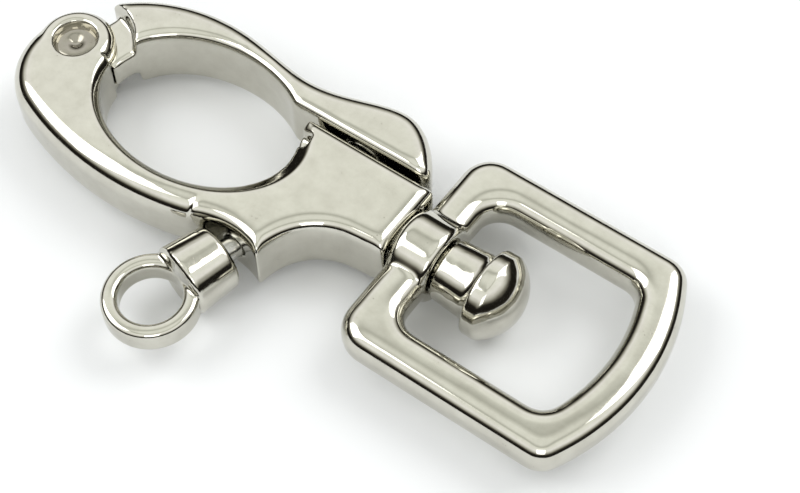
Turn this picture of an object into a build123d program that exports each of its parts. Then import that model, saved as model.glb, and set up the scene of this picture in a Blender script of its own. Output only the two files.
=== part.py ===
"""Swivel snap shackle: a quick-release hook with an oval eye, a hinged gate
locked by a spring plunger, and a strap loop that swivels on a domed stud.

Sizes are in millimetres. The shackle lies flat: X runs along its length
towards the strap loop, Y points to the gate side and Z is up. The plan is
laid out from the point where the swivel axis crosses the near bar of the
strap loop, then placed so the origin is under the middle of the shackle.
"""
from build123d import *
import math
import os

os.makedirs("parts", exist_ok=True)

# ---------------------------------------------------------------- fits
swing_gap = 0.15      # between the gate tongue and each clevis ear
swivel_gap = 0.3      # between the loop hub and the faces at each end of it
turn_fit = 0.07       # radial running clearance of the plunger and the knob
hub_fit = 0.08        # radial running clearance of the loop on its stud
hinge_fit = 0.06      # radial running clearance of the gate on its rivet
lock_gap = 0.12       # between the plunger nose and its socket in the gate
overrun = 1.0         # how far a cutting shape runs past the face it leaves
trim_reach = 20.0     # size of the shape that trims the arm above the hinge

# ---------------------------------------------------------------- body
body_thick = 9.0
eye_x = -34.4         # middle of the oval eye
eye_y = -0.7
eye_half_long = 13.9
eye_half_wide = 10.0
pivot_x = -54.2       # gate hinge
pivot_y = -1.2
ear_radius = 5.0
ear_edge = 0.9        # bevel of the ear rims
slot_room = 0.85      # between the tongue's round end and the floor of its slot
heel_angle = 150.0    # where the arm's heel leaves the ear's round rim
heel_reach = 5.6      # how far the heel bulges beyond the hinge
heel_foot_x = -53.6   # where the heel turns into the belly of the arm
heel_foot_y = -12.5
belly_x = -43.0       # where the belly starts to rise towards the knob
belly_y = -15.1
arm_height = 9.0      # the arm is cut from a block that runs this far up
arm_edge = 2.8        # rounding of the arm's outer rim
shank_edge = 1.6      # rounding of the shank's rim
eye_bevel_wide = 1.5  # flat bevel round the eye, wider towards the shank
eye_bevel_deep = 1.1
eye_bevel_shift = 0.6
shank_face_y = 6.3    # face the gate closes on
shank_left_x = -21.9
shank_foot_y = -4.4   # lower corner of the shank's end face
waist_radius = 8.1    # concave sweep from the shank to the plunger boss
waist_x = -7.1
waist_y = -13.0
horn_x = -15.2        # sharp corner beside the plunger boss
horn_y = -13.4
scoop_left_x = -25.5  # the shallow scoop in front of the knob
scoop_left_y = -13.5
scoop_top_x = -20.3
scoop_top_y = -12.2
pocket_long = 1.9     # small cast pocket beside the eye
pocket_wide = 2.0
pocket_deep = 2.4
pocket_drop = 3.0     # its middle below the face the gate closes on

# ---------------------------------------------------------------- gate
tongue_thick = 4.0
tongue_radius = 4.8
shoulder_radius = 7.5
gate_edge = 2.3       # rounding of the gate's outer edges
gate_inner_edge = 1.0   # rounding of its eye and closing edges
gate_face_y = 6.8     # closing face at the eye end
gate_tip_face_y = 7.15
gate_tip_x = -4.6
gate_root_x = -54.8   # where the outer line starts above the hinge
gate_crown = (        # outer line of the gate, from the hinge to the grip lobe
    (-48.7, 11.0),
    (-44.0, 12.5),
    (-37.5, 12.95),
    (-31.0, 12.0),
    (-25.8, 11.4),
    (-20.5, 12.3),
    (-15.5, 13.9),
    (-11.8, 14.2),
    (-8.4, 12.5),
)
gate_bend_x = -24.4   # where the closing face starts to lean outwards
tongue_reach = 7.4    # how far the tongue runs under the gate from the hinge
tongue_top = 5.4

# ---------------------------------------------------------------- hinge rivet
rivet_radius = 2.0
rivet_seat_radius = 2.8
rivet_seat_deep = 1.4
rivet_head_radius = 2.65
rivet_head_high = 0.55
rivet_dimple_radius = 0.9

# ---------------------------------------------------------------- plunger
plunger_tilt = 15.0   # degrees from square across the shank
boss_x = -19.8        # plunger axis at the boss face
boss_y = -12.25
plunger_radius = 2.5
stem_radius = 1.5
nose_tip_radius = 0.8
nose_base = 19.6      # distances along the plunger from the boss face
nose_tip = 22.3
socket_lead = 3.0     # the socket's mouth flares out this far before the nose
socket_flare = 1.9
collar_back = 13.0
chamber_floor = 3.0
stem_end = -6.6
stem_room = 0.2       # between the stem's end and the floor of its bore
spring_wire = 0.62
spring_coil = 4.02    # middle-of-wire diameter
spring_turns = 7.0

# ---------------------------------------------------------------- knob
knob_front = -2.0
knob_back = -8.2
knob_front_radius = 4.25
knob_back_radius = 4.7
knob_edge = 0.45
ring_reach = 12.2     # ring centre from the boss face
ring_hole_radius = 3.9
ring_width = 2.1
ring_thick = 3.5
ring_edge = 0.85

# ---------------------------------------------------------------- swivel
bar_width = 5.76
bar_thick = 5.6
bar_edge = 2.3
loop_inner_half = 10.3
loop_end_x = 31.5     # outer crown of the arched far bar
loop_arch_radius = 30.2
loop_corner_near = 4.2
loop_corner_far = 3.6
loop_corner_inside = 2.9
hub_radius = 5.2
hub_edge = 0.6        # bevel of the hub's rims
stud_radius = 3.0
stud_depth = 8.0      # how far the stud sits in the shank
neck_radius = 4.0
neck_end_radius = 4.4
neck_end_x = 8.5
neck_flare = 0.8      # the neck widens over this length to meet the dome
dome_radius = 5.7
dome_edge = 0.25
dome_rim = 1.9
dome_end_x = 13.8

# ---------------------------------------------------------------- derived
half_thick = body_thick / 2
hub_half = bar_width / 2
shank_end_x = -hub_half - swivel_gap
neck_start_x = hub_half + swivel_gap
loop_outer_half = loop_inner_half + bar_width
slot_half = tongue_thick / 2 + swing_gap
slot_radius = tongue_radius + slot_room
tilt = math.radians(plunger_tilt)
lean_x = math.sin(tilt)
lean_y = math.cos(tilt)
ring_x = boss_x - ring_reach * lean_x
ring_y = boss_y - ring_reach * lean_y
ring_outer_radius = ring_hole_radius + ring_width
heel_turn = (math.cos(math.radians(heel_angle)), math.sin(math.radians(heel_angle)))
heel_start = (pivot_x + ear_radius * heel_turn[0], pivot_y + ear_radius * heel_turn[1])
heel_way = (-heel_turn[1], heel_turn[0])
arm_top_x = heel_start[0] - arm_height * heel_way[0]
arm_top_y = heel_start[1] - arm_height * heel_way[1]
waist_top = (waist_x - 0.9, waist_y + waist_radius)
waist_side = (waist_x - 0.72 * waist_radius, waist_y + 0.69 * waist_radius)
rivet_top = half_thick - rivet_seat_deep + rivet_head_high
plan_left = pivot_x - heel_reach
plan_low = ring_y - ring_outer_radius
plan_middle_x = (plan_left + loop_end_x) / 2
plan_middle_y = (plan_low + loop_outer_half) / 2

deck = Plane(origin=(-plan_middle_x, -plan_middle_y, dome_radius))
swivel_axis = Axis(deck.origin, (1, 0, 0))
boss_point = deck.from_local_coords((boss_x, boss_y, 0))
plunger_plane = Plane(origin=boss_point, x_dir=(lean_x, lean_y, 0), z_dir=(0, 0, 1))
plunger_axis = Axis(boss_point, (lean_x, lean_y, 0))
plunger_end_on = Plane(origin=boss_point, x_dir=(0, 0, 1), z_dir=(lean_x, lean_y, 0))
ring_upright = Plane(
    origin=deck.from_local_coords((ring_x, ring_y, 0)), x_dir=(1, 0, 0), z_dir=(0, -1, 0)
)
pivot = (pivot_x, pivot_y)
eye_centre = (eye_x, eye_y)
end_on = Plane(deck.origin, x_dir=(0, 1, 0), z_dir=(1, 0, 0))


# ---------------------------------------------------------------- body casting
with BuildPart() as body:
    # curved arm below the eye
    with BuildSketch(deck.offset(-half_thick)) as arm_plan:
        with BuildLine() as arm_line:
            heel = TangentArc(heel_start, (heel_foot_x, heel_foot_y), tangent=heel_way)
            belly = TangentArc(heel @ 1, (belly_x, belly_y), tangent=heel % 1)
            rise = TangentArc(belly @ 1, (scoop_left_x, scoop_left_y), tangent=belly % 1)
            Polyline(
                rise @ 1,
                (scoop_left_x, arm_top_y),
                (arm_top_x, arm_top_y),
                heel_start,
            )
        make_face()
    extrude(amount=body_thick)
    arm_rims = (
        body.edges()
        .filter_by(lambda e: abs(e.bounding_box().size.Z) < 0.01)
        .filter_by(lambda e: e.geom_type != GeomType.LINE)
    )
    fillet(arm_rims, arm_edge)
    with BuildSketch(deck.offset(-half_thick)) as above_arm:
        with BuildLine() as trim_line:
            Polyline(
                pivot,
                (pivot_x + trim_reach * heel_turn[0], pivot_y + trim_reach * heel_turn[1]),
                (pivot_x + trim_reach * heel_turn[0], pivot_y + 2 * trim_reach),
                (0, pivot_y + 2 * trim_reach),
                (0, pivot_y),
                close=True,
            )
        make_face()
    extrude(amount=body_thick, mode=Mode.SUBTRACT)

    # shank from the eye to the swivel
    with BuildSketch(deck.offset(-half_thick)) as shank_plan:
        with BuildLine() as shank_line:
            Polyline(
                (scoop_left_x, scoop_left_y),
                (scoop_left_x, eye_y),
                (shank_left_x, eye_y),
                (shank_left_x, shank_face_y),
                (shank_end_x, shank_face_y),
                (shank_end_x, shank_foot_y),
                waist_top,
            )
            ThreePointArc(waist_top, waist_side, (horn_x, horn_y))
            ThreePointArc(
                (horn_x, horn_y), (scoop_top_x, scoop_top_y), (scoop_left_x, scoop_left_y)
            )
        make_face()
    extrude(amount=body_thick)
    shank_rims = (
        body.edges(Select.LAST)
        .filter_by(lambda e: abs(e.bounding_box().size.Z) < 0.01)
        .filter_by(lambda e: e.center().X > deck.origin.X + shank_left_x + 0.2)
        .filter_by(lambda e: abs(abs(e.center().Z - deck.origin.Z) - half_thick) < 0.01)
    )
    fillet(shank_rims, shank_edge)

    # the eye, with its flat bevel
    with BuildSketch(deck.offset(-half_thick)) as eye_hole:
        with Locations(eye_centre):
            Ellipse(eye_half_long, eye_half_wide)
    extrude(amount=body_thick, mode=Mode.SUBTRACT)
    for bevel_z, way in ((half_thick, -1), (-half_thick, 1)):
        with BuildSketch(deck.offset(bevel_z)) as bevel_top:
            with Locations((eye_x + eye_bevel_shift, eye_y)):
                Ellipse(eye_half_long + eye_bevel_wide, eye_half_wide + eye_bevel_deep)
        with BuildSketch(deck.offset(bevel_z + way * eye_bevel_deep)) as bevel_low:
            with Locations(eye_centre):
                Ellipse(eye_half_long, eye_half_wide)
        loft(mode=Mode.SUBTRACT)

    # round ears of the clevis, with bevelled rims
    with BuildSketch(deck.offset(ear_edge - half_thick)) as ear_plan:
        with Locations(pivot):
            Circle(ear_radius)
    extrude(amount=body_thick - 2 * ear_edge)
    for side in (-1, 1):
        with BuildSketch(deck.offset(side * (half_thick - ear_edge))) as rim_low:
            with Locations(pivot):
                Circle(ear_radius)
        with BuildSketch(deck.offset(side * half_thick)) as rim_high:
            with Locations(pivot):
                Circle(ear_radius - ear_edge)
        loft()

    # slot, rivet hole and rivet seats
    with BuildSketch(deck.offset(-slot_half)) as slot_plan:
        with Locations(pivot):
            Circle(slot_radius)
    extrude(amount=2 * slot_half, mode=Mode.SUBTRACT)
    with BuildSketch(deck.offset(-half_thick)) as rivet_hole:
        with Locations(pivot):
            Circle(rivet_radius)
    extrude(amount=body_thick, mode=Mode.SUBTRACT)
    for seat_z in (-half_thick, half_thick - rivet_seat_deep):
        with BuildSketch(deck.offset(seat_z)) as rivet_seat:
            with Locations(pivot):
                Circle(rivet_seat_radius)
        extrude(amount=rivet_seat_deep, mode=Mode.SUBTRACT)

    # spring chamber open to the gate side, and the stem bore through the boss
    with BuildSketch(plunger_end_on.offset(chamber_floor)) as chamber:
        Circle(plunger_radius + turn_fit)
    extrude(amount=nose_tip, mode=Mode.SUBTRACT)
    with BuildSketch(plunger_end_on.offset(-3 * overrun)) as stem_bore:
        Circle(stem_radius + turn_fit)
    extrude(amount=chamber_floor + 4 * overrun, mode=Mode.SUBTRACT)

    # seat for the swivel stud
    with BuildSketch(end_on.offset(shank_end_x - stud_depth)) as stud_seat:
        Circle(stud_radius)
    extrude(amount=stud_depth + overrun, mode=Mode.SUBTRACT)

    # small cast pocket beside the eye
    with BuildSketch(deck.offset(half_thick - pocket_deep)) as pocket:
        with Locations((shank_left_x, shank_face_y - pocket_drop)):
            Rectangle(2 * pocket_long, pocket_wide)
    extrude(amount=pocket_deep, mode=Mode.SUBTRACT)

body.part.label = "body"
export_step(body.part, "parts/body.step")


# ---------------------------------------------------------------- gate
with BuildPart() as gate:
    with BuildSketch(deck.offset(-half_thick)) as gate_plan:
        with BuildLine() as gate_line:
            gate_outer = Spline(
                (gate_root_x, pivot_y + shoulder_radius + 0.2),
                *gate_crown,
                (gate_tip_x, gate_tip_face_y),
            )
            Polyline(
                gate_outer @ 1,
                (gate_tip_x, pivot_y),
                (gate_root_x, pivot_y),
                gate_outer @ 0,
            )
        make_face()
    extrude(amount=body_thick)
    outer_rims = (
        gate.edges()
        .filter_by(lambda e: abs(e.bounding_box().size.Z) < 0.01)
        .filter_by(lambda e: e.geom_type != GeomType.LINE)
    )
    fillet(outer_rims, gate_edge)
    # everything the body and the eye take up
    with BuildSketch(deck.offset(-half_thick)) as gate_inside:
        with Locations(eye_centre):
            Ellipse(eye_half_long, eye_half_wide)
        with Locations(pivot):
            Circle(shoulder_radius)
        with BuildLine() as face_line:
            Polyline(
                (eye_x, gate_face_y),
                (gate_bend_x, gate_face_y),
                (gate_tip_x + overrun, gate_tip_face_y),
                (gate_tip_x + overrun, pivot_y - overrun),
                (gate_root_x - overrun, pivot_y - overrun),
                (gate_root_x - overrun, pivot_y + tongue_radius),
                (eye_x - eye_half_wide, eye_y),
                close=True,
            )
        make_face()
    extrude(amount=body_thick, mode=Mode.SUBTRACT)
    inner_rims = (
        gate.edges()
        .filter_by(lambda e: abs(e.bounding_box().size.Z) < 0.01)
        .filter_by(lambda e: abs(abs(e.center().Z - deck.origin.Z) - half_thick) < 0.01)
        .filter_by(lambda e: e.geom_type in (GeomType.ELLIPSE, GeomType.LINE))
    )
    fillet(inner_rims, gate_inner_edge)

    # thin tongue that runs between the ears
    with BuildSketch(deck.offset(-tongue_thick / 2)) as tongue_plan:
        with Locations(pivot):
            Circle(tongue_radius)
        with BuildLine() as tongue_line:
            Polyline(
                (pivot_x, pivot_y + tongue_radius - swing_gap),
                (pivot_x + overrun, pivot_y + shoulder_radius + overrun),
                (pivot_x + tongue_reach, pivot_y + tongue_top),
                (pivot_x + tongue_reach, pivot_y + 2 * swing_gap),
                (pivot_x, pivot_y + 2 * swing_gap),
                close=True,
            )
        make_face()
        with Locations(eye_centre):
            Ellipse(eye_half_long, eye_half_wide, mode=Mode.SUBTRACT)
    extrude(amount=tongue_thick)
    with BuildSketch(deck.offset(-half_thick)) as hinge_hole:
        with Locations(pivot):
            Circle(rivet_radius + hinge_fit)
    extrude(amount=body_thick, mode=Mode.SUBTRACT)

    # tapered socket for the plunger nose
    with BuildSketch(plunger_plane) as socket_half:
        with BuildLine() as socket_line:
            Polyline(
                (nose_base - socket_lead, 0),
                (nose_base - socket_lead, plunger_radius + lock_gap + socket_flare),
                (nose_base + lock_gap, plunger_radius + lock_gap),
                (nose_tip + lock_gap, nose_tip_radius + lock_gap),
                (nose_tip + lock_gap, 0),
                close=True,
            )
        make_face()
    revolve(axis=plunger_axis, mode=Mode.SUBTRACT)

gate.part.label = "gate"
export_step(gate.part, "parts/gate.step")


# ---------------------------------------------------------------- hinge rivet
with BuildPart() as hinge_rivet:
    with BuildSketch(deck.offset(-rivet_top)) as rivet_plan:
        with Locations(pivot):
            Circle(rivet_radius)
    extrude(amount=2 * rivet_top)
    for head_z in (-rivet_top, rivet_top - rivet_head_high):
        with BuildSketch(deck.offset(head_z)) as rivet_head:
            with Locations(pivot):
                Circle(rivet_head_radius)
        extrude(amount=rivet_head_high)
    with Locations(deck.from_local_coords((pivot_x, pivot_y, rivet_top + rivet_dimple_radius / 2))):
        Sphere(rivet_dimple_radius, mode=Mode.SUBTRACT)

hinge_rivet.part.label = "hinge_rivet"
export_step(hinge_rivet.part, "parts/hinge_rivet.step")


# ---------------------------------------------------------------- plunger
with BuildPart() as plunger:
    with BuildSketch(plunger_plane) as plunger_half:
        with BuildLine() as plunger_line:
            Polyline(
                (stem_end, 0),
                (stem_end, stem_radius),
                (collar_back, stem_radius),
                (collar_back, plunger_radius),
                (nose_base, plunger_radius),
                (nose_tip, nose_tip_radius),
                (nose_tip, 0),
                close=True,
            )
        make_face()
    revolve(axis=plunger_axis)

plunger.part.label = "plunger"
export_step(plunger.part, "parts/plunger.step")


# ---------------------------------------------------------------- plunger spring
spring_length = collar_back - chamber_floor - spring_wire
with BuildPart() as plunger_spring:
    with BuildLine() as coil:
        spring_foot = plunger_plane.from_local_coords((chamber_floor + spring_wire / 2, 0, 0))
        Helix(
            pitch=spring_length / spring_turns,
            height=spring_length,
            radius=spring_coil / 2,
            center=spring_foot,
            direction=(lean_x, lean_y, 0),
        )
    with BuildSketch(coil.line ^ 0) as wire_round:
        Circle(spring_wire / 2)
    sweep(is_frenet=True)

plunger_spring.part.label = "plunger_spring"
export_step(plunger_spring.part, "parts/plunger_spring.step")


# ---------------------------------------------------------------- pull knob
with BuildPart() as pull_knob:
    with BuildSketch(plunger_plane) as knob_half:
        with BuildLine() as knob_line:
            Polyline(
                (knob_back, 0),
                (knob_back, knob_back_radius - knob_edge),
                (knob_back + knob_edge, knob_back_radius),
                (knob_front - knob_edge, knob_front_radius),
                (knob_front, knob_front_radius - knob_edge),
                (knob_front, 0),
                close=True,
            )
        make_face()
    revolve(axis=plunger_axis)
    # cast ring eye
    with BuildSketch(ring_upright) as ring_section:
        with Locations((ring_hole_radius + ring_width / 2, 0)):
            RectangleRounded(ring_width, ring_thick, ring_edge)
    revolve(axis=Axis(ring_upright.origin, (0, 0, 1)))
    # blind bore for the stem
    with BuildSketch(plunger_end_on.offset(stem_end - stem_room)) as knob_bore:
        Circle(stem_radius + turn_fit)
    extrude(amount=knob_front - stem_end + overrun, mode=Mode.SUBTRACT)

pull_knob.part.label = "pull_knob"
export_step(pull_knob.part, "parts/pull_knob.step")


# ---------------------------------------------------------------- swivel stud
with BuildPart() as swivel_stud:
    with BuildSketch(deck) as stud_half:
        with BuildLine() as stud_line:
            Polyline(
                (dome_end_x, 0),
                (shank_end_x - stud_depth, 0),
                (shank_end_x - stud_depth, stud_radius),
                (neck_start_x, stud_radius),
                (neck_start_x, neck_radius),
                (neck_end_x - neck_flare, neck_end_radius),
                (neck_end_x, neck_end_radius + neck_flare / 2),
                (neck_end_x, dome_radius - dome_edge),
                (neck_end_x + dome_edge, dome_radius),
                (neck_end_x + dome_rim, dome_radius),
            )
            dome_high = dome_end_x - neck_end_x - dome_rim
            dome_ball = (dome_radius**2 + dome_high**2) / (2 * dome_high)
            half_way = math.asin(dome_radius / dome_ball) / 2
            ThreePointArc(
                (neck_end_x + dome_rim, dome_radius),
                (dome_end_x - dome_ball * (1 - math.cos(half_way)), dome_ball * math.sin(half_way)),
                (dome_end_x, 0),
            )
        make_face()
    revolve(axis=swivel_axis)

swivel_stud.part.label = "swivel_stud"
export_step(swivel_stud.part, "parts/swivel_stud.step")


# ---------------------------------------------------------------- strap loop
with BuildPart() as swivel_loop:
    arch_x = loop_end_x - loop_arch_radius
    inner_arch = loop_arch_radius - bar_width
    outer_side_x = arch_x + math.sqrt(loop_arch_radius**2 - loop_outer_half**2)
    inner_side_x = arch_x + math.sqrt(inner_arch**2 - loop_inner_half**2)
    with BuildSketch(deck.offset(-bar_thick / 2)) as loop_plan:
        with BuildLine() as outer_line:
            Polyline(
                (outer_side_x, -loop_outer_half),
                (-hub_half, -loop_outer_half),
                (-hub_half, loop_outer_half),
                (outer_side_x, loop_outer_half),
            )
            ThreePointArc(
                (outer_side_x, loop_outer_half), (loop_end_x, 0), (outer_side_x, -loop_outer_half)
            )
        make_face()
        fillet(loop_plan.vertices().filter_by(lambda v: v.X < 0), loop_corner_near)
        fillet(loop_plan.vertices().filter_by(lambda v: v.X > outer_side_x - 0.1), loop_corner_far)
        with BuildSketch(mode=Mode.PRIVATE) as strap_slot:
            with BuildLine() as slot_line:
                Polyline(
                    (inner_side_x, -loop_inner_half),
                    (hub_half, -loop_inner_half),
                    (hub_half, loop_inner_half),
                    (inner_side_x, loop_inner_half),
                )
                ThreePointArc(
                    (inner_side_x, loop_inner_half),
                    (loop_end_x - bar_width, 0),
                    (inner_side_x, -loop_inner_half),
                )
            make_face()
            fillet(strap_slot.vertices(), loop_corner_inside)
        add(strap_slot.sketch, mode=Mode.SUBTRACT)
    extrude(amount=bar_thick)
    loop_rims = swivel_loop.edges().filter_by(lambda e: abs(e.bounding_box().size.Z) < 0.01)
    fillet(loop_rims, bar_edge)
    # hub round the stud
    with BuildSketch(deck) as hub_half_section:
        with BuildLine() as hub_line:
            Polyline(
                (-hub_half, 0),
                (-hub_half, hub_radius - hub_edge),
                (hub_edge - hub_half, hub_radius),
                (hub_half - hub_edge, hub_radius),
                (hub_half, hub_radius - hub_edge),
                (hub_half, 0),
                close=True,
            )
        make_face()
    revolve(axis=swivel_axis)
    with BuildSketch(end_on.offset(-hub_half)) as hub_bore:
        Circle(stud_radius + hub_fit)
    extrude(amount=bar_width, mode=Mode.SUBTRACT)

swivel_loop.part.label = "swivel_loop"
export_step(swivel_loop.part, "parts/swivel_loop.step")
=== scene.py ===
"""Swivel snap shackle in polished nickel plate, lying closed on a pale studio floor.

Every size is in millimetres until it is handed to Blender, which works in metres
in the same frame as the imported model: X along the shackle towards the strap loop,
Y to the gate side, Z up from the floor.
"""
from __future__ import annotations

import logging
import math
from dataclasses import dataclass, field
from enum import Enum

import bmesh
import bpy
from mathutils import Matrix, Vector


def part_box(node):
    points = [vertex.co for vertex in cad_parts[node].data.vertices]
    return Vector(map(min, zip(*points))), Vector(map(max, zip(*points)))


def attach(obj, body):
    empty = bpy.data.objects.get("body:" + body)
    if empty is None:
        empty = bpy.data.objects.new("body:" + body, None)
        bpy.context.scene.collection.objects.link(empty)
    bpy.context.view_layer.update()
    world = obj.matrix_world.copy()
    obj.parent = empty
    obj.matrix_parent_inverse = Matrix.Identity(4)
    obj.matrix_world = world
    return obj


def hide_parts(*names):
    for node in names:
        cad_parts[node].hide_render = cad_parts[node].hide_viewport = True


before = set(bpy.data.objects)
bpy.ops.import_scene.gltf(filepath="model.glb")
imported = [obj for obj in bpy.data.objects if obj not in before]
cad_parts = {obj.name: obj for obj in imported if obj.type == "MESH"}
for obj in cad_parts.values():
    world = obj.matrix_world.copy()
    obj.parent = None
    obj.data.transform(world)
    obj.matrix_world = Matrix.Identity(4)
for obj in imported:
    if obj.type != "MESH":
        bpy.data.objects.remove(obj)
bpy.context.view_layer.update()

log = logging.getLogger("shackle")


def mm(value: float) -> float:
    """Turns millimetres into metres.

    Args:
        value: A length in millimetres.

    Returns:
        The same length in metres.
    """
    return value / 1000.0


def linear(hex_colour: str) -> tuple[float, float, float, float]:
    """Turns an sRGB hex colour into a linear one.

    Args:
        hex_colour: Six hex digits after a hash, such as "#D2D0C6".

    Returns:
        Red, green, blue and alpha for a shader socket.
    """
    digits = hex_colour.lstrip("#")
    channels = [int(digits[i : i + 2], 16) / 255.0 for i in (0, 2, 4)]
    red, green, blue = (
        c / 12.92 if c <= 0.04045 else ((c + 0.055) / 1.055) ** 2.4 for c in channels
    )
    return (red, green, blue, 1.0)


def add_node(
    tree: bpy.types.NodeTree,
    kind: str,
    inputs: dict[str | int, object] | None = None,
    **settings: object,
) -> bpy.types.Node:
    """Adds one shader node with its settings, values and links.

    Args:
        tree: The node tree that gets the node.
        kind: The node's type name, such as "ShaderNodeTexNoise".
        inputs: Socket name or index to a plain value, or to the output socket to link.
        settings: Attributes of the node itself, such as operation or blend_type.

    Returns:
        The new node.
    """
    node = tree.nodes.new(kind)
    for name, value in settings.items():
        setattr(node, name, value)
    for socket, value in (inputs or {}).items():
        if isinstance(value, bpy.types.NodeSocket):
            tree.links.new(value, node.inputs[socket])
        else:
            node.inputs[socket].default_value = value
    return node


def new_object(name: str, mesh: bpy.types.Mesh) -> bpy.types.Object:
    """Makes an object of a mesh and puts it in the scene.

    Args:
        name: The object's name.
        mesh: The mesh it shows.

    Returns:
        The new object, at the origin.
    """
    piece = bpy.data.objects.new(name, mesh)
    bpy.context.scene.collection.objects.link(piece)
    return piece


def mesh_from(work: bmesh.types.BMesh, name: str) -> bpy.types.Mesh:
    """Writes a bmesh to a new smooth-shaded mesh and frees it.

    Args:
        work: The finished bmesh.
        name: The new mesh's name.

    Returns:
        The mesh, with outward normals.
    """
    bmesh.ops.recalc_face_normals(work, faces=work.faces)
    for face in work.faces:
        face.smooth = True
    mesh = bpy.data.meshes.new(name)
    work.to_mesh(mesh)
    work.free()
    return mesh


# ------------------------------------------------------------------ finishes


class Grain(Enum):
    """How the surface under the plating was made."""

    CAST = "cast"
    TURNED = "turned"
    DRAWN = "drawn"

    @property
    def pit_stretch(self) -> tuple[float, float, float]:
        """Scale of the pit pattern: drawing pulls the pits out along the wire."""
        return (0.2, 0.2, 1.0) if self is Grain.DRAWN else (1.0, 1.0, 1.0)


@dataclass(frozen=True)
class PlatedMetal:
    """Bright nickel plate: a slightly warm mirror that follows every ripple of the metal below.

    Buffing leaves it glossy but never quite flat, with faint wheel marks and a few
    specks where the casting was porous.
    """

    name: str
    grain: Grain = Grain.CAST
    bright: str = "#CDCBC1"
    dull: str = "#B3B0A5"
    speck: str = "#5F5A50"
    gloss: float = 0.045
    haze: float = 0.13
    ripple_size: float = 10.0
    ripple_depth: float = 0.16
    speck_size: float = 0.55
    speck_depth: float = 0.02
    patch_size: float = 2.6
    wheel_mark_size: float = 0.35
    wheel_mark_turn: float = 28.0
    wheel_mark_stretch: float = 0.08

    def make(self) -> bpy.types.Material:
        """Builds the material.

        Returns:
            A material whose patterns are set by real sizes on the object.
        """
        material = bpy.data.materials.new(self.name)
        material.use_nodes = True
        tree = material.node_tree
        shader = tree.nodes["Principled BSDF"]
        shader.inputs["Metallic"].default_value = 1.0
        place = add_node(tree, "ShaderNodeTexCoord").outputs["Object"]
        marks_place = add_node(
            tree,
            "ShaderNodeMapping",
            {
                "Vector": place,
                "Rotation": (0.0, 0.0, math.radians(self.wheel_mark_turn)),
                "Scale": (self.wheel_mark_stretch, 1.0, 1.0),
            },
        ).outputs["Vector"]
        ripples = add_node(
            tree,
            "ShaderNodeTexNoise",
            {"Vector": place, "Scale": 1.0 / mm(self.ripple_size), "Detail": 1.5, "Roughness": 0.4},
        ).outputs["Fac"]
        patches = add_node(
            tree,
            "ShaderNodeTexNoise",
            {"Vector": place, "Scale": 1.0 / mm(self.patch_size), "Detail": 4.0, "Roughness": 0.6},
        ).outputs["Fac"]
        marks = add_node(
            tree,
            "ShaderNodeTexNoise",
            {"Vector": marks_place, "Scale": 1.0 / mm(self.wheel_mark_size), "Detail": 3.0},
        ).outputs["Fac"]
        cells_place = add_node(
            tree, "ShaderNodeMapping", {"Vector": place, "Scale": self.grain.pit_stretch}
        ).outputs["Vector"]
        cells = add_node(
            tree,
            "ShaderNodeTexVoronoi",
            {"Vector": cells_place, "Scale": 1.0 / mm(self.speck_size), "Randomness": 1.0},
        ).outputs["Distance"]
        pits = add_node(
            tree,
            "ShaderNodeMapRange",
            {"Value": cells, "From Min": 0.05, "From Max": 0.16, "To Min": 1.0, "To Max": 0.0},
        ).outputs["Result"]
        pit_field = add_node(
            tree,
            "ShaderNodeMapRange",
            {"Value": patches, "From Min": 0.6, "From Max": 0.68, "To Min": 0.0, "To Max": 1.0},
        ).outputs["Result"]
        specks = add_node(
            tree, "ShaderNodeMath", {0: pits, 1: pit_field}, operation="MULTIPLY"
        ).outputs[0]
        tone = add_node(
            tree,
            "ShaderNodeMapRange",
            {"Value": patches, "From Min": 0.3, "From Max": 0.75, "To Min": 0.0, "To Max": 0.55},
        ).outputs["Result"]
        plating = add_node(
            tree,
            "ShaderNodeMix",
            {"Factor": tone, "A": linear(self.bright), "B": linear(self.dull)},
            data_type="RGBA",
        )
        colour = add_node(tree, "ShaderNodeMix", {"B": linear(self.speck)}, data_type="RGBA")
        tree.links.new(specks, colour.inputs["Factor"])
        tree.links.new(plating.outputs["Result"], colour.inputs["A"])
        tree.links.new(colour.outputs["Result"], shader.inputs["Base Color"])
        smear = add_node(
            tree, "ShaderNodeMath", {0: patches, 1: marks}, operation="MULTIPLY"
        ).outputs[0]
        rough = add_node(
            tree,
            "ShaderNodeMapRange",
            {
                "Value": smear,
                "From Min": 0.12,
                "From Max": 0.45,
                "To Min": self.gloss,
                "To Max": self.haze,
            },
        ).outputs["Result"]
        tree.links.new(rough, shader.inputs["Roughness"])
        waves = add_node(
            tree,
            "ShaderNodeBump",
            {"Height": ripples, "Distance": mm(self.ripple_depth), "Strength": 1.0},
        ).outputs["Normal"]
        dents = add_node(
            tree,
            "ShaderNodeBump",
            {"Height": specks, "Distance": mm(self.speck_depth), "Strength": 0.6, "Normal": waves},
            invert=True,
        ).outputs["Normal"]
        tree.links.new(dents, shader.inputs["Normal"])
        return material


# ------------------------------------------------------------------ shackle pieces


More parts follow.
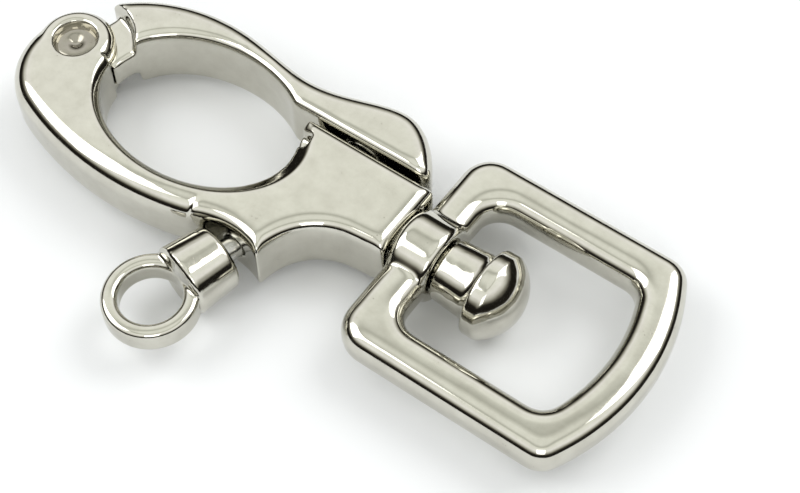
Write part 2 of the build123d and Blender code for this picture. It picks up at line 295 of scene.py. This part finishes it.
@dataclass
class CastPiece:
    """A piece copied from its CAD node, its rims softened as tumbling and buffing leave them."""

    node: str
    body: str
    slot: str
    skin: float = 0.22
    softening: int = 8
    weld: float = 0.002

    def build(self, finish: bpy.types.Material) -> bpy.types.Object:
        """Makes the buffed copy and sets it in place of the CAD node.

        Args:
            finish: The material of the whole piece.

        Returns:
            The new piece, riding on its body.
        """
        work = bmesh.new()
        work.from_mesh(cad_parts[self.node].data)
        bmesh.ops.remove_doubles(work, verts=work.verts, dist=mm(self.weld))
        piece = new_object(f"{self.node}_buffed", mesh_from(work, f"{self.node}_joined"))
        remesh = piece.modifiers.new("even skin", "REMESH")
        remesh.mode = "VOXEL"
        remesh.voxel_size = mm(self.skin)
        bpy.context.view_layer.update()
        view = bpy.context.evaluated_depsgraph_get()
        even = bpy.data.meshes.new_from_object(piece.evaluated_get(view))
        piece.modifiers.clear()
        soft = bmesh.new()
        soft.from_mesh(even)
        for _ in range(self.softening):
            bmesh.ops.smooth_vert(
                soft,
                verts=soft.verts,
                factor=0.5,
                use_axis_x=True,
                use_axis_y=True,
                use_axis_z=True,
            )
        piece.data = mesh_from(soft, f"{self.node}_buffed")
        piece.data.materials.append(finish)
        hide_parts(self.node)
        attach(piece, self.body)
        log.info("%s: %d faces", piece.name, len(piece.data.polygons))
        return piece


@dataclass
class HingeRivet:
    """The gate's rivet: its ends are set down in the ear seats and spread by a round punch."""

    head_overhang: float = 0.66
    head_height: float = 0.52
    crown_drop: float = 0.05
    rim_drop: float = 0.18
    punch_radius: float = 1.0
    punch_depth: float = 0.45
    rim_round: float = 0.16
    segments: int = 96

    def build(self, finish: bpy.types.Material) -> bpy.types.Object:
        """Spins the rivet's half profile about the hinge.

        Args:
            finish: The material of the rivet.

        Returns:
            The new piece, riding on the frame.
        """
        low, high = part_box("hinge_rivet")
        middle = (Vector(low) + Vector(high)) / 2
        radius = (high[0] - low[0]) / 2
        half = (high[2] - low[2]) / 2
        shank = radius - mm(self.head_overhang)
        head = mm(self.head_height)
        dish = mm(self.punch_depth)
        outline = (
            (0.0, half - dish),
            (mm(self.punch_radius) * 0.6, half - dish * 0.8),
            (mm(self.punch_radius), half - dish * 0.15),
            (radius * 0.75, half - mm(self.crown_drop)),
            (radius, half - mm(self.rim_drop)),
            (radius, half - head),
            (shank, half - head),
        )
        profile = list(outline) + [(x, -z) for x, z in reversed(outline)]
        work = bmesh.new()
        points = [work.verts.new((x, 0.0, z)) for x, z in profile]
        edges = [work.edges.new(pair) for pair in zip(points, points[1:])]
        bmesh.ops.spin(
            work,
            geom=points + edges,
            cent=(0.0, 0.0, 0.0),
            axis=(0.0, 0.0, 1.0),
            angle=math.tau,
            steps=self.segments,
            use_merge=True,
        )
        bmesh.ops.remove_doubles(work, verts=work.verts, dist=mm(0.001))
        rims = [e for e in work.edges if len(e.link_faces) == 2 and e.calc_face_angle() > 0.9]
        bmesh.ops.bevel(
            work,
            geom=rims,
            offset=mm(self.rim_round),
            segments=4,
            profile=0.5,
            affect="EDGES",
            material=-1,
        )
        bmesh.ops.translate(work, verts=work.verts, vec=middle)
        piece = new_object("hinge_rivet_set", mesh_from(work, "hinge_rivet_set"))
        piece.data.materials.append(finish)
        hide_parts("hinge_rivet")
        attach(piece, "frame")
        log.info("%s: %d faces", piece.name, len(piece.data.polygons))
        return piece


@dataclass
class SnapBody:
    """The body casting and the rivet through its ears."""

    casting: CastPiece = field(
        default_factory=lambda: CastPiece("body", "frame", "nickel", 0.22, 9)
    )
    rivet: HingeRivet = field(default_factory=HingeRivet)

    def build(self) -> list[bpy.types.Object]:
        """Builds and dresses both pieces.

        Returns:
            The casting and the rivet.
        """
        cast_finish = PlatedMetal("polished nickel plate on zinc body casting").make()
        rivet_finish = PlatedMetal(
            "nickel plate on headed steel rivet",
            Grain.TURNED,
            bright="#A5A196",
            dull="#837E73",
            gloss=0.1,
            haze=0.2,
        ).make()
        return [self.casting.build(cast_finish), self.rivet.build(rivet_finish)]


@dataclass
class SnapGate:
    """The hinged gate casting."""

    casting: CastPiece = field(
        default_factory=lambda: CastPiece("gate", "gate", "nickel", 0.2, 30)
    )

    def build(self) -> list[bpy.types.Object]:
        """Builds and dresses the gate.

        Returns:
            The gate alone.
        """
        finish = PlatedMetal("polished nickel plate on zinc gate casting", ripple_size=8.0).make()
        return [self.casting.build(finish)]


@dataclass
class PullPlunger:
    """The sprung pin and the ringed knob that pulls it."""

    knob: CastPiece = field(
        default_factory=lambda: CastPiece("pull_knob", "knob", "nickel", 0.14, 3)
    )
    pin: CastPiece = field(
        default_factory=lambda: CastPiece("plunger", "plunger", "steel", 0.14, 3)
    )

    def build(self) -> list[bpy.types.Object]:
        """Builds the knob and pin, and dresses the CAD spring.

        Returns:
            The knob and the pin.
        """
        knob_finish = PlatedMetal(
            "polished nickel plate on zinc knob casting", ripple_size=4.0, ripple_depth=0.02
        ).make()
        pin_finish = PlatedMetal(
            "turned steel pin", Grain.TURNED, bright="#B4B3AE", dull="#94928C", gloss=0.16, haze=0.3
        ).make()
        wire_finish = PlatedMetal(
            "drawn spring steel wire",
            Grain.DRAWN,
            bright="#A9A8A4",
            dull="#85837E",
            gloss=0.2,
            haze=0.34,
        ).make()
        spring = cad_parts["plunger_spring"].data
        spring.materials.clear()
        spring.materials.append(wire_finish)
        return [self.knob.build(knob_finish), self.pin.build(pin_finish)]


@dataclass
class SwivelEnd:
    """The domed stud and the strap loop that turns on it."""

    stud: CastPiece = field(
        default_factory=lambda: CastPiece("swivel_stud", "frame", "nickel", 0.16, 4)
    )
    loop: CastPiece = field(
        default_factory=lambda: CastPiece("swivel_loop", "loop", "nickel", 0.21, 10)
    )

    def build(self) -> list[bpy.types.Object]:
        """Builds and dresses the stud and the loop.

        Returns:
            The stud and the loop.
        """
        stud_finish = PlatedMetal(
            "polished nickel plate on swivel stud", ripple_size=2.6, ripple_depth=0.075
        ).make()
        loop_finish = PlatedMetal(
            "polished nickel plate on zinc loop casting", ripple_size=9.0, ripple_depth=0.1
        ).make()
        return [self.stud.build(stud_finish), self.loop.build(loop_finish)]


# ------------------------------------------------------------------ studio


@dataclass(frozen=True)
class Softbox:
    """A square studio lamp behind a diffuser."""

    name: str
    azimuth: float
    elevation: float
    reach: float
    side: float
    glow: float

    def build(self, aim: Vector) -> None:
        """Hangs the lamp so that it faces the shackle.

        Args:
            aim: The point the lamp faces, in metres.
        """
        lamp = bpy.data.lights.new(self.name, "AREA")
        lamp.shape = "SQUARE"
        lamp.size = mm(self.side)
        lamp.energy = self.glow * math.pi * mm(self.side) ** 2
        turn = math.radians(self.azimuth)
        lift = math.radians(self.elevation)
        way = Vector(
            (math.sin(turn) * math.cos(lift), -math.cos(turn) * math.cos(lift), math.sin(lift))
        )
        holder = bpy.data.objects.new(self.name, lamp)
        bpy.context.scene.collection.objects.link(holder)
        holder.location = aim + way * mm(self.reach)
        holder.rotation_euler = way.to_track_quat("Z", "Y").to_euler()


@dataclass
class Studio:
    """White floor, soft lamps, a room with dark walls for the metal to mirror, and the camera."""

    camera_azimuth: float = 36.945
    camera_elevation: float = 57.129
    camera_roll: float = -1.347
    camera_reach: float = 218.46
    camera_lens: float = 81.29
    aim: tuple[float, float, float] = (10.79, 6.3, 5.7)
    floor_side: float = 6000.0
    mirror_strength: float = 1.28
    fill_strength: float = 0.62
    lamps: tuple[Softbox, ...] = (
        Softbox("softbox over the loop", 150.0, 48.0, 700.0, 460.0, 2.8),
        Softbox("softbox by the hinge", -62.0, 46.0, 700.0, 460.0, 2.6),
        Softbox("softbox in front", 34.0, 34.0, 700.0, 300.0, 2.4),
    )

    def build_floor(self) -> None:
        """Lays a matt paper floor under the shackle."""
        work = bmesh.new()
        bmesh.ops.create_grid(work, x_segments=1, y_segments=1, size=mm(self.floor_side) / 2)
        floor = new_object("studio_floor", mesh_from(work, "studio_floor"))
        paper = bpy.data.materials.new("matt white background paper")
        paper.use_nodes = True
        shader = paper.node_tree.nodes["Principled BSDF"]
        shader.inputs["Base Color"].default_value = linear("#F6F8F8")
        shader.inputs["Roughness"].default_value = 0.9
        shader.inputs["Specular IOR Level"].default_value = 0.1
        floor.data.materials.append(paper)

    def build_room(self) -> None:
        """Sets the world: white behind the shackle, even fill, and a graded room for the metal.

        The metal mirrors dark walls just above the floor, bright walls over them and a
        slightly greyer ceiling, which draws the crisp dark lines that bright plating shows.
        """
        world = bpy.data.worlds.new("studio room")
        bpy.context.scene.world = world
        world.use_nodes = True
        tree = world.node_tree
        tree.nodes.clear()
        way = add_node(tree, "ShaderNodeTexCoord").outputs["Generated"]
        height = add_node(tree, "ShaderNodeSeparateXYZ", {"Vector": way}).outputs["Z"]
        walls = add_node(tree, "ShaderNodeValToRGB", {"Fac": height})
        bands = (
            (0.0, "#3A3731"),
            (0.08, "#1A1815"),
            (0.26, "#201E1A"),
            (0.34, "#6E6B62"),
            (0.46, "#C9C9C2"),
            (0.60, "#FFFFFF"),
            (0.84, "#F6F8F2"),
            (0.90, "#C2C4BC"),
            (0.96, "#F2F4EE"),
        )
        ramp = walls.color_ramp
        while len(ramp.elements) < len(bands):
            ramp.elements.new(1.0)
        for element, (position, colour) in zip(ramp.elements, bands):
            element.position = position
            element.color = linear(colour)
        path = add_node(tree, "ShaderNodeLightPath").outputs
        blank = linear("#FFFFFF")
        mirrored = add_node(
            tree,
            "ShaderNodeBackground",
            {"Color": walls.outputs["Color"], "Strength": self.mirror_strength},
        )
        fill = add_node(
            tree, "ShaderNodeBackground", {"Color": blank, "Strength": self.fill_strength}
        )
        white = add_node(tree, "ShaderNodeBackground", {"Color": blank, "Strength": 1.0})
        seen = add_node(
            tree,
            "ShaderNodeMixShader",
            {"Fac": path["Is Glossy Ray"], 1: fill.outputs[0], 2: mirrored.outputs[0]},
        )
        whole = add_node(
            tree,
            "ShaderNodeMixShader",
            {"Fac": path["Is Camera Ray"], 1: seen.outputs[0], 2: white.outputs[0]},
        )
        add_node(tree, "ShaderNodeOutputWorld", {"Surface": whole.outputs[0]})

    def build_camera(self) -> None:
        """Sets the camera by its turn, height, roll and reach from the aim point."""
        turn = math.radians(self.camera_azimuth)
        lift = math.radians(self.camera_elevation)
        back = Vector(
            (math.sin(turn) * math.cos(lift), -math.cos(turn) * math.cos(lift), math.sin(lift))
        )
        right = Vector((math.cos(turn), math.sin(turn), 0.0))
        basis = Matrix((right, back.cross(right), back)).transposed()
        lens = bpy.data.cameras.new("studio camera")
        lens.lens = self.camera_lens
        lens.sensor_width = 36.0
        lens.clip_start = 0.01
        camera = bpy.data.objects.new("studio camera", lens)
        bpy.context.scene.collection.objects.link(camera)
        roll = Matrix.Rotation(math.radians(self.camera_roll), 3, "Z")
        place = Vector(mm(a) for a in self.aim) + back * mm(self.camera_reach)
        camera.matrix_world = Matrix.Translation(place) @ (basis @ roll).to_4x4()
        bpy.context.scene.camera = camera

    def build(self) -> None:
        """Builds the whole studio."""
        self.build_floor()
        self.build_room()
        for lamp in self.lamps:
            lamp.build(Vector(mm(a) for a in self.aim))
        self.build_camera()
        bpy.context.scene.view_settings.view_transform = "Standard"


def main() -> None:
    """Builds the shackle piece by piece, then the studio round it."""
    logging.basicConfig(level=logging.INFO, format="%(name)s: %(message)s")
    for part in (SnapBody(), SnapGate(), PullPlunger(), SwivelEnd()):
        for piece in part.build():
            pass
    Studio().build()


if __name__ == "__main__":
    main()
